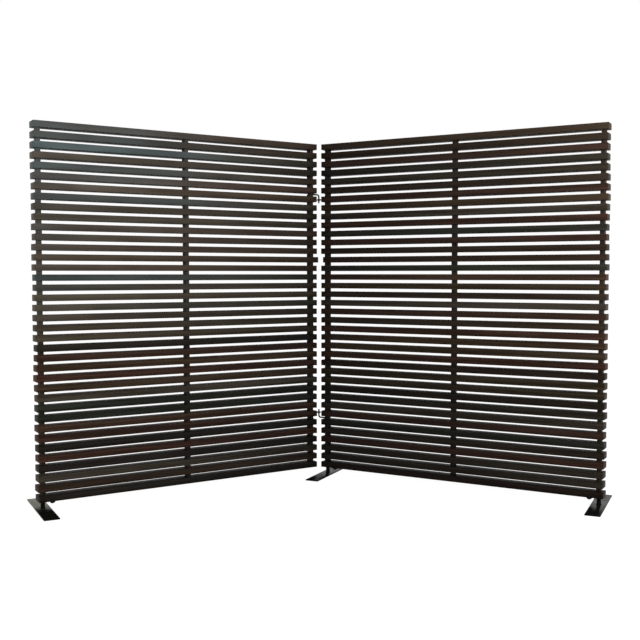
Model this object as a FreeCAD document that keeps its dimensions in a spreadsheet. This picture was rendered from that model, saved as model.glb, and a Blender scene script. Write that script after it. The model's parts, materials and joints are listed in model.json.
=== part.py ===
"""Garden privacy screen: two slatted panels in a shallow V, hooked together so that they fold.

Millimetres, +Z up. The origin is on the ground, under the middle of the whole screen. The fold
axis stands behind it, the panels open towards -Y. Each panel is drawn once in its own frame:
the fold axis is its Z axis, +X runs along the slats away from the axis, and Y is the slats'
depth. The two panels are the same unit, one of them turned over, so both use these functions.
"""
import FreeCAD, Part
import os
import Sketcher

SLAT_COUNT = 38        # slats in one panel, number 1 is the top one
SLATS_PER_GROUP = 2    # slats that share a node
TOP_HOOK_GAP = 6       # the top hook leaves the left panel below this slat
BOTTOM_HOOK_GAP = 32   # the bottom hook leaves the right panel below this slat

SIZES = {
    # slats and the gaps between them
    "slat_length": 1440,
    "slat_depth": 63.5,
    "slat_thickness": 28.575,
    "slat_edge_radius": 1.5,
    "slat_gap": 15.875,
    # the fold
    "panel_angle": 30.5,
    "joint_reach": 30,
    # spacer blocks and tie rods
    "column_inset": 24,
    "spacer_width": 19,
    "spacer_depth": 34,
    "spacer_edge_radius": 1,
    "rod_diameter": 8,
    "rod_hole_clearance": 0.5,
    "thread_clearance": 0.05,
    "rod_setback": 2,
    # flange nuts and the counterbores that hide them
    "counterbore_diameter": 24,
    "counterbore_depth": 12,
    "nut_width": 13,
    "nut_height": 8,
    "flange_diameter": 17.9,
    "flange_thickness": 2,
    # feet
    "plate_length": 410,
    "plate_width": 68,
    "plate_thickness": 5,
    "plate_corner_radius": 4,
    "foot_turn": 4.5,
    "post_diameter": 20,
    "post_length": 29,
    "post_bore_depth": 20,
    "tab_length": 74,
    "tab_width": 30,
    "tab_thickness": 3,
    "tab_corner_radius": 6,
    "tab_overhang": 16,
    "bolt_offset": 43,
    "bolt_diameter": 8,
    "bolt_grip": 20,
    "bolt_head_diameter": 28,
    "bolt_head_height": 12,
    # hooks and eyes
    "hook_ring_diameter": 24,
    "hook_ring_thickness": 4,
    "hook_strip_width": 14,
    "hook_strip_margin": 4,
    "hook_room_margin": 1,
    "hook_bar_diameter": 8,
    "hook_bend_radius": 11,
    "hook_drop": 44,
    "eye_diameter": 20,
    "eye_height": 8,
    "eye_clearance": 0.3,
    "eye_shank_diameter": 6,
    "eye_shank_depth": 16,
}

X_AXIS = FreeCAD.Vector(1, 0, 0)
Z_AXIS = FreeCAD.Vector(0, 0, 1)

# heights above the ground
PLATE_TOP = "Sizes.plate_thickness"
TAB_BOTTOM = "(Sizes.plate_thickness + Sizes.post_length)"
STACK_BOTTOM = "(Sizes.plate_thickness + Sizes.post_length + Sizes.tab_thickness)"
PITCH = "(Sizes.slat_thickness + Sizes.slat_gap)"
STACK_TOP = f"({STACK_BOTTOM} + {SLAT_COUNT - 1} * {PITCH} + Sizes.slat_thickness)"

# places along a panel, from the fold axis
PANEL_END = "Sizes.joint_reach"
JOINT_COLUMN = "(Sizes.joint_reach + Sizes.column_inset)"
MIDDLE_COLUMN = "(Sizes.joint_reach + Sizes.slat_length / 2)"
OUTER_COLUMN = "(Sizes.joint_reach + Sizes.slat_length - Sizes.column_inset)"
COLUMNS = {"joint": JOINT_COLUMN, "middle": MIDDLE_COLUMN, "outer": OUTER_COLUMN}

# the fold axis stands behind the origin, so that the feet's outline is centred on the origin
FOLD_AXIS_Y = f"(({JOINT_COLUMN} + {OUTER_COLUMN}) / 2 * sin(Sizes.panel_angle * 1deg))"

# bores and holes
ROD_HOLE = "(Sizes.rod_diameter + 2 * Sizes.rod_hole_clearance)"
ROD_THREAD = "(Sizes.rod_diameter + 2 * Sizes.thread_clearance)"
BOLT_THREAD = "(Sizes.bolt_diameter + 2 * Sizes.thread_clearance)"
EYE_THREAD = "(Sizes.eye_shank_diameter + 2 * Sizes.thread_clearance)"
EYE_BORE = "(Sizes.hook_bar_diameter + 2 * Sizes.eye_clearance)"


class Panel:
    """One of the two panels: its turn about the fold axis, its feet and how its plates are turned,
    and the slat that carries its eye."""

    def __init__(self, name, turn, feet, foot_turn, eye_slat):
        self.name = name
        self.turn = turn
        self.feet = feet
        self.foot_turn = foot_turn
        self.eye_slat = eye_slat


RIGHT = Panel("right", turn="-Sizes.panel_angle * 1deg", feet=("joint", "outer"),
              foot_turn="Sizes.foot_turn * 1deg", eye_slat=TOP_HOOK_GAP + 1)
LEFT = Panel("left", turn="180deg + Sizes.panel_angle * 1deg", feet=("outer",),
             foot_turn="-Sizes.foot_turn * 1deg", eye_slat=BOTTOM_HOOK_GAP)

doc = FreeCAD.newDocument("PrivacyScreen")
nodes = []


def write_sizes():
    """Put every driving size in the spreadsheet, under its own alias."""
    sheet = doc.addObject("Spreadsheet::Sheet", "Sizes")
    for row, (name, value) in enumerate(SIZES.items(), start=1):
        sheet.set(f"A{row}", name)
        sheet.set(f"B{row}", str(value))
        sheet.setAlias(f"B{row}", name)
    doc.recompute()


def slat_bottom(number):
    """Height of the underside of a slat, counted from the top."""
    return f"({STACK_BOTTOM} + {SLAT_COUNT - number} * {PITCH})"


def slat_top(number):
    """Height of the upper face of a slat, counted from the top."""
    return f"({slat_bottom(number)} + Sizes.slat_thickness)"


def slat_middle(number):
    """Height of the middle of a slat's thickness, counted from the top."""
    return f"({slat_bottom(number)} + Sizes.slat_thickness / 2)"


# ---------------------------------------------------------------- bodies and sketches

def new_body(name, panel):
    """A body in a panel's frame, which is turned about the fold axis."""
    body = doc.addObject("PartDesign::Body", name)
    body.Label = name
    body.AllowCompound = True
    body.Placement = FreeCAD.Placement(FreeCAD.Vector(), FreeCAD.Rotation(Z_AXIS, 1))
    body.setExpression("Placement.Base.y", FOLD_AXIS_Y)
    body.setExpression("Placement.Rotation.Angle", panel.turn)
    nodes.append(body)
    return body


def origin_feature(body, role):
    """A plane or axis of a body's own origin."""
    return next(item for item in body.Origin.OriginFeatures if item.Role == role)


def new_sketch(body, name, plane, turn=None, **place):
    """A sketch on an origin plane, moved by x, y and z in its own directions, and turned."""
    sketch = body.newObject("Sketcher::SketchObject", f"{body.Name}_{name}")
    sketch.AttachmentSupport = [(origin_feature(body, plane), "")]
    sketch.MapMode = "FlatFace"
    if turn:
        sketch.AttachmentOffset = FreeCAD.Placement(FreeCAD.Vector(), FreeCAD.Rotation(Z_AXIS, 1))
        sketch.setExpression("AttachmentOffset.Rotation.Angle", turn)
    for direction, expression in place.items():
        sketch.setExpression(f"AttachmentOffset.Base.{direction}", expression)
    return sketch


def constrain(sketch, kind, *where, size):
    """Add a dimension to a sketch and bind it to the sizes."""
    index = sketch.addConstraint(Sketcher.Constraint(kind, *where, 1.0))
    sketch.setExpression(f"Constraints[{index}]", size)


def add_circle(sketch, diameter, x=None, y=None):
    """A circle at a place of the sketch, on an axis where no distance is given."""
    circle = sketch.addGeometry(Part.Circle(FreeCAD.Vector(1, 1, 0), Z_AXIS, 1), False)
    if x is None:
        sketch.addConstraint(Sketcher.Constraint("PointOnObject", circle, 3, -2))
    else:
        constrain(sketch, "DistanceX", -1, 1, circle, 3, size=x)
    if y is None:
        sketch.addConstraint(Sketcher.Constraint("PointOnObject", circle, 3, -1))
    else:
        constrain(sketch, "DistanceY", -1, 1, circle, 3, size=y)
    constrain(sketch, "Diameter", circle, size=diameter)
    return circle


def add_rectangle(sketch, width, height, radius):
    """A rectangle with round corners, centred on the sketch's origin."""
    half, inner = 10.0, 8.0
    corners = ((-1, -1), (1, -1), (1, 1), (-1, 1))
    lines = []
    for index, (x1, y1) in enumerate(corners):
        x2, y2 = corners[(index + 1) % 4]
        flat = y1 == y2
        start = FreeCAD.Vector(x1 * (inner if flat else half), y1 * (half if flat else inner), 0)
        end = FreeCAD.Vector(x2 * (inner if flat else half), y2 * (half if flat else inner), 0)
        lines.append(sketch.addGeometry(Part.LineSegment(start, end), False))
        sketch.addConstraint(Sketcher.Constraint("Horizontal" if flat else "Vertical", lines[-1]))
    arcs = []
    for index, (x, y) in enumerate(corners):
        centre = FreeCAD.Vector(x * inner, y * inner, 0)
        circle = Part.Circle(centre, Z_AXIS, half - inner)
        start = (180 + 90 * index) * FreeCAD.Units.Quantity("1deg").getValueAs("rad").Value
        quarter = FreeCAD.Units.Quantity("90deg").getValueAs("rad").Value
        arcs.append(sketch.addGeometry(Part.ArcOfCircle(circle, start, start + quarter), False))
    for index, arc in enumerate(arcs):
        sketch.addConstraint(Sketcher.Constraint("Tangent", lines[index - 1], 2, arc, 1))
        sketch.addConstraint(Sketcher.Constraint("Tangent", arc, 2, lines[index], 1))
        if index:
            sketch.addConstraint(Sketcher.Constraint("Equal", arcs[0], arc))
    constrain(sketch, "Radius", arcs[0], size=radius)
    sketch.addConstraint(Sketcher.Constraint("Symmetric", arcs[0], 3, arcs[2], 3, -1, 1))
    constrain(sketch, "DistanceY", arcs[0], 3, arcs[3], 3, size=f"{height} - 2 * {radius}")
    constrain(sketch, "DistanceX", arcs[0], 3, arcs[1], 3, size=f"{width} - 2 * {radius}")


def add_hexagon(sketch, width):
    """A regular hexagon round the sketch's origin, given its width across the flats."""
    guide = sketch.addGeometry(Part.Circle(FreeCAD.Vector(), Z_AXIS, 1), True)
    sketch.addConstraint(Sketcher.Constraint("Coincident", guide, 3, -1, 1))
    constrain(sketch, "Diameter", guide, size=f"{width} / cos(30deg)")
    corners = [FreeCAD.Rotation(Z_AXIS, 60 * index).multVec(X_AXIS) for index in range(6)]
    sides = []
    for index in range(6):
        side = Part.LineSegment(corners[index], corners[(index + 1) % 6])
        sides.append(sketch.addGeometry(side, False))
        sketch.addConstraint(Sketcher.Constraint("PointOnObject", sides[index], 1, guide))
    for index in range(6):
        meeting = (sides[index - 1], 2, sides[index], 1)
        sketch.addConstraint(Sketcher.Constraint("Coincident", *meeting))
        if index:
            sketch.addConstraint(Sketcher.Constraint("Equal", sides[0], sides[index]))
    sketch.addConstraint(Sketcher.Constraint("PointOnObject", sides[0], 1, -1))


def pad(body, sketch, length):
    """Pad a sketch along its normal."""
    feature = body.newObject("PartDesign::Pad", f"{sketch.Name}_pad")
    feature.Profile = sketch
    feature.setExpression("Length", length)
    body.Tip = feature
    return feature


def pocket(body, sketch, depth=None, along_normal=False):
    """Cut a sketch into the body against its normal, or along it, or right through."""
    feature = body.newObject("PartDesign::Pocket", f"{sketch.Name}_pocket")
    feature.Profile = sketch
    if depth is None:
        feature.SideType = "Symmetric"
        feature.Type = "ThroughAll"
    else:
        feature.Reversed = along_normal
        feature.setExpression("Length", depth)
    body.Tip = feature
    return feature


def repeat(body, feature, axis, length, count):
    """Repeat a feature along an axis of the body's origin."""
    pattern = body.newObject("PartDesign::LinearPattern", f"{feature.Name}_row")
    pattern.Originals = [feature]
    pattern.Direction = (origin_feature(body, axis), [""])
    pattern.setExpression("Length", length)
    pattern.Occurrences = count
    body.Tip = pattern
    return pattern


def revolve(body, sketch, axis, angle=360, reverse=False):
    """Turn a sketch about one of its own axes."""
    feature = body.newObject("PartDesign::Revolution", f"{sketch.Name}_turn")
    feature.Profile = sketch
    feature.ReferenceAxis = (sketch, [axis])
    feature.Angle = angle
    feature.Reversed = reverse
    body.Tip = feature
    return feature


# ---------------------------------------------------------------- slats and spacers

def make_slats(panel, first, count):
    """Neighbouring slats, with rod holes, and any counterbore or screw hole that they need."""
    last = first + count - 1
    body = new_body(f"{panel.name}_slats_{first:02d}_{last:02d}", panel)
    section = new_sketch(body, "section", "YZ_Plane", y=slat_middle(last), z=PANEL_END)
    add_rectangle(section, "Sizes.slat_depth", "Sizes.slat_thickness", "Sizes.slat_edge_radius")
    slat = pad(body, section, "Sizes.slat_length")
    if count > 1:
        repeat(body, slat, "Z_Axis", f"{count - 1} * {PITCH}", count)
    holes = new_sketch(body, "rod_holes", "XY_Plane", z=slat_middle(last))
    for place in COLUMNS.values():
        add_circle(holes, ROD_HOLE, place)
    pocket(body, holes)
    if first == 1:
        make_counterbores(body, "top", STACK_TOP, COLUMNS, from_below=False)
    if last == SLAT_COUNT:
        open_columns = [name for name in COLUMNS if name not in panel.feet]
        make_counterbores(body, "bottom", STACK_BOTTOM, open_columns, from_below=True)
        make_bolt_holes(body, panel)
    if first <= panel.eye_slat <= last:
        screw = new_sketch(body, "eye_hole", "YZ_Plane", y=slat_middle(panel.eye_slat), z=PANEL_END)
        add_circle(screw, EYE_THREAD)
        pocket(body, screw, "Sizes.eye_shank_depth", along_normal=True)


def make_counterbores(body, name, height, columns, from_below):
    """Flat-bottomed recesses round the rod holes, in the top or the bottom of the stack."""
    recesses = new_sketch(body, f"{name}_recesses", "XY_Plane", z=height)
    for column in columns:
        add_circle(recesses, "Sizes.counterbore_diameter", COLUMNS[column])
    pocket(body, recesses, "Sizes.counterbore_depth", along_normal=from_below)


def make_bolt_holes(body, panel):
    """Blind holes in the bottom slat for the coach bolts of the feet."""
    holes = new_sketch(body, "bolt_holes", "XY_Plane", z=STACK_BOTTOM)
    for foot in panel.feet:
        add_circle(holes, BOLT_THREAD, bolt_place(foot))
    pocket(body, holes, "Sizes.bolt_grip", along_normal=True)


def make_spacers(panel, column):
    """One column of spacer blocks, threaded on a tie rod; one block makes room for a hook."""
    body = new_body(f"{panel.name}_spacers_{column}", panel)
    section = new_sketch(body, "section", "XY_Plane", x=COLUMNS[column], z=slat_top(SLAT_COUNT))
    add_rectangle(section, "Sizes.spacer_width", "Sizes.spacer_depth", "Sizes.spacer_edge_radius")
    block = pad(body, section, "Sizes.slat_gap")
    repeat(body, block, "Z_Axis", f"{SLAT_COUNT - 2} * {PITCH}", SLAT_COUNT - 1)
    hole = new_sketch(body, "rod_hole", "XY_Plane", x=COLUMNS[column], z=STACK_BOTTOM)
    add_circle(hole, ROD_HOLE)
    pocket(body, hole)
    if column == "joint":
        room = new_sketch(body, "hook_room", "XY_Plane", x=COLUMNS[column], z=hook_face(panel))
        add_rectangle(room, "(Sizes.spacer_width + 2 * Sizes.hook_room_margin)",
                      "(Sizes.spacer_depth + 2 * Sizes.hook_room_margin)",
                      "Sizes.spacer_edge_radius")
        pocket(body, room, "Sizes.hook_ring_thickness", along_normal=panel is RIGHT)


# ---------------------------------------------------------------- rods and nuts

def make_rods(panel):
    """The three tie rods that hold a panel's slats and spacers together."""
    body = new_body(f"{panel.name}_tie_rods", panel)
    top = f"({STACK_TOP} - Sizes.rod_setback)"
    foot_end = f"({TAB_BOTTOM} - Sizes.post_bore_depth)"
    free_end = f"({STACK_BOTTOM} + Sizes.rod_setback)"
    for name, bottom in (("foot", foot_end), ("free", free_end)):
        sketch = new_sketch(body, name, "XY_Plane", z=bottom)
        for column, place in COLUMNS.items():
            if (column in panel.feet) == (name == "foot"):
                add_circle(sketch, "Sizes.rod_diameter", place)
        pad(body, sketch, f"{top} - {bottom}")


def make_nuts(panel):
    """Flange nuts in the counterbores, at the top of each rod and below rods with no foot."""
    body = new_body(f"{panel.name}_rod_nuts", panel)
    upper_seat = f"({STACK_TOP} - Sizes.counterbore_depth)"
    lower_seat = f"({STACK_BOTTOM} + Sizes.counterbore_depth)"
    free_columns = [name for name in COLUMNS if name not in panel.feet]
    add_nuts(body, "upper", upper_seat, COLUMNS, downwards=False)
    add_nuts(body, "lower", lower_seat, free_columns, downwards=True)


def add_nuts(body, name, seat, columns, downwards):
    """Flange nuts that stand up from, or hang down from, their seats."""
    hexagon_height = "(Sizes.nut_height - Sizes.flange_thickness)"
    flange_base = seat
    hexagon_base = f"({seat} + Sizes.flange_thickness)"
    if downwards:
        flange_base = f"({seat} - Sizes.flange_thickness)"
        hexagon_base = f"({seat} - Sizes.nut_height)"
    for column in columns:
        place = COLUMNS[column]
        flange = new_sketch(body, f"{name}_{column}_flange", "XY_Plane", x=place, z=flange_base)
        add_circle(flange, "Sizes.flange_diameter")
        add_circle(flange, ROD_THREAD)
        pad(body, flange, "Sizes.flange_thickness")
        hexagon = new_sketch(body, f"{name}_{column}_hexagon", "XY_Plane", x=place, z=hexagon_base)
        add_hexagon(hexagon, "Sizes.nut_width")
        add_circle(hexagon, ROD_THREAD)
        pad(body, hexagon, hexagon_height)


# ---------------------------------------------------------------- feet

def inboard(foot):
    """The sign of the direction from a foot's post to the middle of the panel."""
    return "+" if foot == "joint" else "-"


def bolt_place(foot):
    """Where the coach bolt of a foot stands along the panel."""
    return f"({COLUMNS[foot]} {inboard(foot)} Sizes.bolt_offset)"


def make_foot(panel, foot, name):
    """A flat foot plate, turned a little, and the post with its fixing tab that stands on it."""
    plate = new_body(f"{name}_foot_plate", panel)
    outline = new_sketch(plate, "outline", "XY_Plane", turn=panel.foot_turn, x=COLUMNS[foot])
    add_rectangle(outline, "Sizes.plate_width", "Sizes.plate_length", "Sizes.plate_corner_radius")
    pad(plate, outline, "Sizes.plate_thickness")

    post = new_body(f"{name}_foot_post", panel)
    column = new_sketch(post, "column", "XY_Plane", x=COLUMNS[foot], z=PLATE_TOP)
    add_circle(column, "Sizes.post_diameter")
    pad(post, column, "Sizes.post_length")
    tab_place = f"{COLUMNS[foot]} {inboard(foot)} (Sizes.tab_length / 2 - Sizes.tab_overhang)"
    tab = new_sketch(post, "tab", "XY_Plane", x=tab_place, z=TAB_BOTTOM)
    add_rectangle(tab, "Sizes.tab_length", "Sizes.tab_width", "Sizes.tab_corner_radius")
    pad(post, tab, "Sizes.tab_thickness")
    bore = new_sketch(post, "bore", "XY_Plane", x=COLUMNS[foot], z=STACK_BOTTOM)
    add_circle(bore, ROD_THREAD)
    pocket(post, bore, "(Sizes.tab_thickness + Sizes.post_bore_depth)")
    bolt_hole = new_sketch(post, "bolt_hole", "XY_Plane", x=bolt_place(foot), z=STACK_BOTTOM)
    add_circle(bolt_hole, BOLT_THREAD)
    pocket(post, bolt_hole, "Sizes.tab_thickness")


def make_bolts(panel, name):
    """Dome-headed coach bolts up through the tabs into the bottom slat."""
    body = new_body(name, panel)
    feet = panel.feet
    for foot in feet:
        outline = new_sketch(body, f"{foot}_dome", "XZ_Plane", x=bolt_place(foot), y=TAB_BOTTOM)
        base = sketch_line(outline, (0, 0), (4, 0))
        edge = sketch_arc(outline, (0, 3), 6, -90, -20)
        axis = sketch_line(outline, (0, -3), (0, 0))
        outline.addConstraint(Sketcher.Constraint("Coincident", base, 1, -1, 1))
        outline.addConstraint(Sketcher.Constraint("Horizontal", base))
        outline.addConstraint(Sketcher.Constraint("Coincident", axis, 2, base, 1))
        outline.addConstraint(Sketcher.Constraint("Vertical", axis))
        outline.addConstraint(Sketcher.Constraint("Coincident", edge, 1, axis, 1))
        outline.addConstraint(Sketcher.Constraint("Coincident", edge, 2, base, 2))
        outline.addConstraint(Sketcher.Constraint("PointOnObject", edge, 3, -2))
        constrain(outline, "DistanceX", base, 1, base, 2, size="Sizes.bolt_head_diameter / 2")
        constrain(outline, "DistanceY", axis, 1, axis, 2, size="Sizes.bolt_head_height")
        revolve(body, outline, "V_Axis")
        shank = new_sketch(body, f"{foot}_shank", "XY_Plane", x=bolt_place(foot), z=TAB_BOTTOM)
        add_circle(shank, "Sizes.bolt_diameter")
        pad(body, shank, "(Sizes.tab_thickness + Sizes.bolt_grip)")


def sketch_line(sketch, start, end):
    """A rough line, to be constrained."""
    line = Part.LineSegment(FreeCAD.Vector(*start, 0), FreeCAD.Vector(*end, 0))
    return sketch.addGeometry(line, False)


def sketch_arc(sketch, centre, radius, start, end):
    """A rough arc between two directions in degrees, to be constrained."""
    degree = FreeCAD.Units.Quantity("1deg").getValueAs("rad").Value
    circle = Part.Circle(FreeCAD.Vector(*centre, 0), Z_AXIS, radius)
    return sketch.addGeometry(Part.ArcOfCircle(circle, start * degree, end * degree), False)


# ---------------------------------------------------------------- hooks and eyes

def hook_face(panel):
    """Height of the slat face that a panel's hook is clamped against."""
    return slat_bottom(TOP_HOOK_GAP) if panel is LEFT else slat_top(BOTTOM_HOOK_GAP + 1)


def make_hook(panel, name):
    """A hook clamped on the joint column's rod, with a leg that drops or rises into the eye."""
    body = new_body(name, panel)
    hangs = panel is LEFT
    away = "-" if hangs else "+"
    face = hook_face(panel)
    flat_base = f"({face} - Sizes.hook_ring_thickness)" if hangs else face
    bar_height = f"({face} {away} Sizes.hook_bar_diameter / 2)"
    strip_end = f"({JOINT_COLUMN} - Sizes.spacer_width / 2 - Sizes.hook_strip_margin)"
    strip_length = "(Sizes.spacer_width / 2 + Sizes.hook_strip_margin)"
    bend = "Sizes.hook_bend_radius"

    ring = new_sketch(body, "ring", "XY_Plane", x=JOINT_COLUMN, z=flat_base)
    add_circle(ring, "Sizes.hook_ring_diameter")
    pad(body, ring, "Sizes.hook_ring_thickness")
    strip = new_sketch(body, "strip", "XY_Plane", x=f"{strip_end} + {strip_length} / 2", z=flat_base)
    add_rectangle(strip, strip_length, "Sizes.hook_strip_width", "Sizes.spacer_edge_radius")
    pad(body, strip, "Sizes.hook_ring_thickness")

    bar = new_sketch(body, "bar", "YZ_Plane", y=bar_height, z=bend)
    add_circle(bar, "Sizes.hook_bar_diameter")
    pad(body, bar, f"{strip_end} + Sizes.hook_strip_margin - {bend}")
    curve = new_sketch(body, "bend", "YZ_Plane", y=f"{bar_height} {away} {bend}", z=bend)
    rise = bend if hangs else f"-{bend}"
    add_circle(curve, "Sizes.hook_bar_diameter", y=rise)
    revolve(body, curve, "H_Axis", angle=90, reverse=hangs)

    leg_length = f"(Sizes.hook_drop - {bend} - Sizes.hook_bar_diameter / 2)"
    leg_base = f"{bar_height} {away} {bend}" + (f" - {leg_length}" if hangs else "")
    leg = new_sketch(body, "leg", "XY_Plane", z=leg_base)
    add_circle(leg, "Sizes.hook_bar_diameter")
    pad(body, leg, leg_length)
    tip_height = f"{bar_height} {away} (Sizes.hook_drop - Sizes.hook_bar_diameter / 2)"
    tip = new_sketch(body, "tip", "XZ_Plane", y=tip_height)
    add_half_disc(tip, "Sizes.hook_bar_diameter")
    revolve(body, tip, "V_Axis")

    hole = new_sketch(body, "rod_hole", "XY_Plane", x=JOINT_COLUMN, z=flat_base)
    add_circle(hole, ROD_HOLE)
    pocket(body, hole)


def add_half_disc(sketch, diameter):
    """Half a disc on the +X side of the sketch's Y axis, which makes a ball when turned."""
    line = sketch_line(sketch, (0, 2), (0, -2))
    arc = sketch_arc(sketch, (0, 0), 2, -90, 90)
    sketch.addConstraint(Sketcher.Constraint("Coincident", arc, 3, -1, 1))
    sketch.addConstraint(Sketcher.Constraint("Coincident", arc, 2, line, 1))
    sketch.addConstraint(Sketcher.Constraint("Coincident", arc, 1, line, 2))
    sketch.addConstraint(Sketcher.Constraint("PointOnObject", line, 1, -2))
    sketch.addConstraint(Sketcher.Constraint("PointOnObject", line, 2, -2))
    constrain(sketch, "Diameter", arc, size=diameter)


def make_eye(panel, name):
    """An eye round the fold axis, with a shank screwed into the end of a slat."""
    body = new_body(name, panel)
    middle = slat_middle(panel.eye_slat)
    ring = new_sketch(body, "ring", "XY_Plane", z=f"{middle} - Sizes.eye_height / 2")
    add_circle(ring, "Sizes.eye_diameter")
    pad(body, ring, "Sizes.eye_height")
    start = f"({EYE_BORE} + Sizes.eye_diameter) / 4"
    shank = new_sketch(body, "shank", "YZ_Plane", y=middle, z=start)
    add_circle(shank, "Sizes.eye_shank_diameter")
    pad(body, shank, f"{PANEL_END} + Sizes.eye_shank_depth - {start}")
    bore = new_sketch(body, "bore", "XY_Plane", z=middle)
    add_circle(bore, EYE_BORE)
    pocket(body, bore)


# ---------------------------------------------------------------- the whole screen

def make_panel(panel):
    """Slats, spacers, rods and nuts of one panel."""
    for first in range(1, SLAT_COUNT + 1, SLATS_PER_GROUP):
        make_slats(panel, first, min(SLATS_PER_GROUP, SLAT_COUNT - first + 1))
    for column in COLUMNS:
        make_spacers(panel, column)
    make_rods(panel)
    make_nuts(panel)


def check(objects):
    """Stop if an object failed, a cut took nothing away, or a node's shape is not valid."""
    for item in doc.Objects:
        if "Invalid" in item.State or "Error" in item.State:
            raise RuntimeError(f"{item.Label} failed: {item.State}")
        if item.TypeId == "PartDesign::Pocket" and item.Shape.Volume >= item.BaseFeature.Shape.Volume:
            raise RuntimeError(f"{item.Label} cuts nothing")
    for item in objects:
        if item.Shape.isNull() or not item.Shape.isValid() or not item.Shape.Solids:
            raise RuntimeError(f"{item.Label} has no valid shape")


def write_steps(objects):
    """Write each node to a file of its own."""
    os.makedirs("parts", exist_ok=True)
    for item in objects:
        item.Shape.exportStep(os.path.join("parts", f"{item.Label}.step"))


write_sizes()
make_panel(LEFT)
make_panel(RIGHT)
make_foot(LEFT, "outer", "left")
make_foot(RIGHT, "joint", "joint")
make_foot(RIGHT, "outer", "right")
make_bolts(LEFT, "left_foot_bolt")
make_bolts(RIGHT, "right_foot_bolts")
make_hook(LEFT, "top_hook")
make_hook(RIGHT, "bottom_hook")
make_eye(RIGHT, "top_eye")
make_eye(LEFT, "bottom_eye")
doc.recompute()
check(nodes)
write_steps(nodes)
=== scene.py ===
"""The finish of a garden privacy screen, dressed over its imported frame.

Two slatted panels stand in a shallow V, open towards -Y, and fold about an upright axis behind
them. Each panel is built in its own frame, where the fold axis is Z, +X runs along the slats away
from the axis and Y is the slats' depth, and is then turned into its place. Everything is in metres.
"""
import json
import logging
import math
import random
from dataclasses import dataclass, field
from enum import Enum

import bmesh
import bpy
import numpy as np
from mathutils import Matrix, Vector


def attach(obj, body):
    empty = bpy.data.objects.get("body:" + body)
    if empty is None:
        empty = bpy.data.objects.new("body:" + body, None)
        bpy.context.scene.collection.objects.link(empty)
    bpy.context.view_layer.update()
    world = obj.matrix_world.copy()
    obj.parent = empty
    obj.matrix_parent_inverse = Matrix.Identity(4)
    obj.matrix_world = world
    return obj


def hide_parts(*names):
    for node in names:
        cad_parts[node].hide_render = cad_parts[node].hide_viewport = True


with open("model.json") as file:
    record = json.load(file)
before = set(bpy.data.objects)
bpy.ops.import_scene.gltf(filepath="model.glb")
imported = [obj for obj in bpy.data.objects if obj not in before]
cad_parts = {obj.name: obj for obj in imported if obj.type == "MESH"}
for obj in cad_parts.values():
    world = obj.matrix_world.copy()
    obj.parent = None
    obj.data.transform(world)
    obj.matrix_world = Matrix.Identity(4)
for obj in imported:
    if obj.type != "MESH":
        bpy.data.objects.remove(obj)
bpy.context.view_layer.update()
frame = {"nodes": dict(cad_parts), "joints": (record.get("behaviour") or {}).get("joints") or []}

MM = 0.001
LOG = logging.getLogger("privacy_screen")
GRAIN = "grain"    # point attribute: place in the board, in metres, for patterns that follow it
TONE_AND_SHADE = "tone_and_shade"      # point attribute: the stain's colour on one board, with painted shade towards the fold and the ground
SHEEN = "sheen"    # point attribute: how much painted sheen, grey reflected light, one board carries


# ------------------------------------------------------------------ small tools

def linear(colour: str) -> tuple[float, float, float, float]:
    """Turn an sRGB hex colour into the linear values that shaders read.

    Args:
        colour: Six hex digits after a hash.

    Returns:
        Linear red, green and blue, and an alpha of one.
    """
    channels = [int(colour[index:index + 2], 16) / 255 for index in (1, 3, 5)]
    bent = [c / 12.92 if c <= 0.04045 else ((c + 0.055) / 1.055) ** 2.4 for c in channels]
    return (*bent, 1.0)


def add_node(tree: bpy.types.NodeTree, kind: str, settings: dict | None = None,
             inputs: dict | None = None) -> bpy.types.Node:
    """Add a node with its settings, input values and links.

    Args:
        tree: The node tree that takes the node.
        kind: The node's type name.
        settings: Node properties by name.
        inputs: Input sockets by name or index, each with a value or the socket that feeds it.

    Returns:
        The new node.
    """
    node = tree.nodes.new(kind)
    for name, value in (settings or {}).items():
        setattr(node, name, value)
    for key, value in (inputs or {}).items():
        if isinstance(value, bpy.types.NodeSocket):
            tree.links.new(value, node.inputs[key])
        else:
            node.inputs[key].default_value = value
    return node


def new_material(name: str) -> tuple[bpy.types.Material, bpy.types.NodeTree]:
    """Make an empty node material.

    Args:
        name: The material's name.

    Returns:
        The material and its node tree, with no nodes.
    """
    material = bpy.data.materials.new(name)
    material.use_nodes = True
    material.node_tree.nodes.clear()
    return material, material.node_tree


def show_surface(tree: bpy.types.NodeTree, shader: bpy.types.NodeSocket) -> None:
    """Feed a shader to the material's output."""
    add_node(tree, "ShaderNodeOutputMaterial", inputs={"Surface": shader})


def mesh_object(bm: bmesh.types.BMesh, name: str) -> bpy.types.Object:
    """Turn a bmesh into an object at the origin, with outward faces.

    Args:
        bm: The finished bmesh, which is freed.
        name: The object's name.

    Returns:
        The new object, linked to the scene.
    """
    bmesh.ops.recalc_face_normals(bm, faces=bm.faces)
    mesh = bpy.data.meshes.new(name)
    bm.to_mesh(mesh)
    bm.free()
    piece = bpy.data.objects.new(name, mesh)
    bpy.context.scene.collection.objects.link(piece)
    return piece


def bevel_edges(bm: bmesh.types.BMesh, edges: list, width: float, segments: int = 2) -> None:
    """Round edges of a bmesh by a width in metres."""
    bmesh.ops.bevel(bm, geom=edges, offset=width, offset_type="OFFSET", segments=segments,
                    profile=0.5, affect="EDGES", material=-1, clamp_overlap=True)


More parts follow.
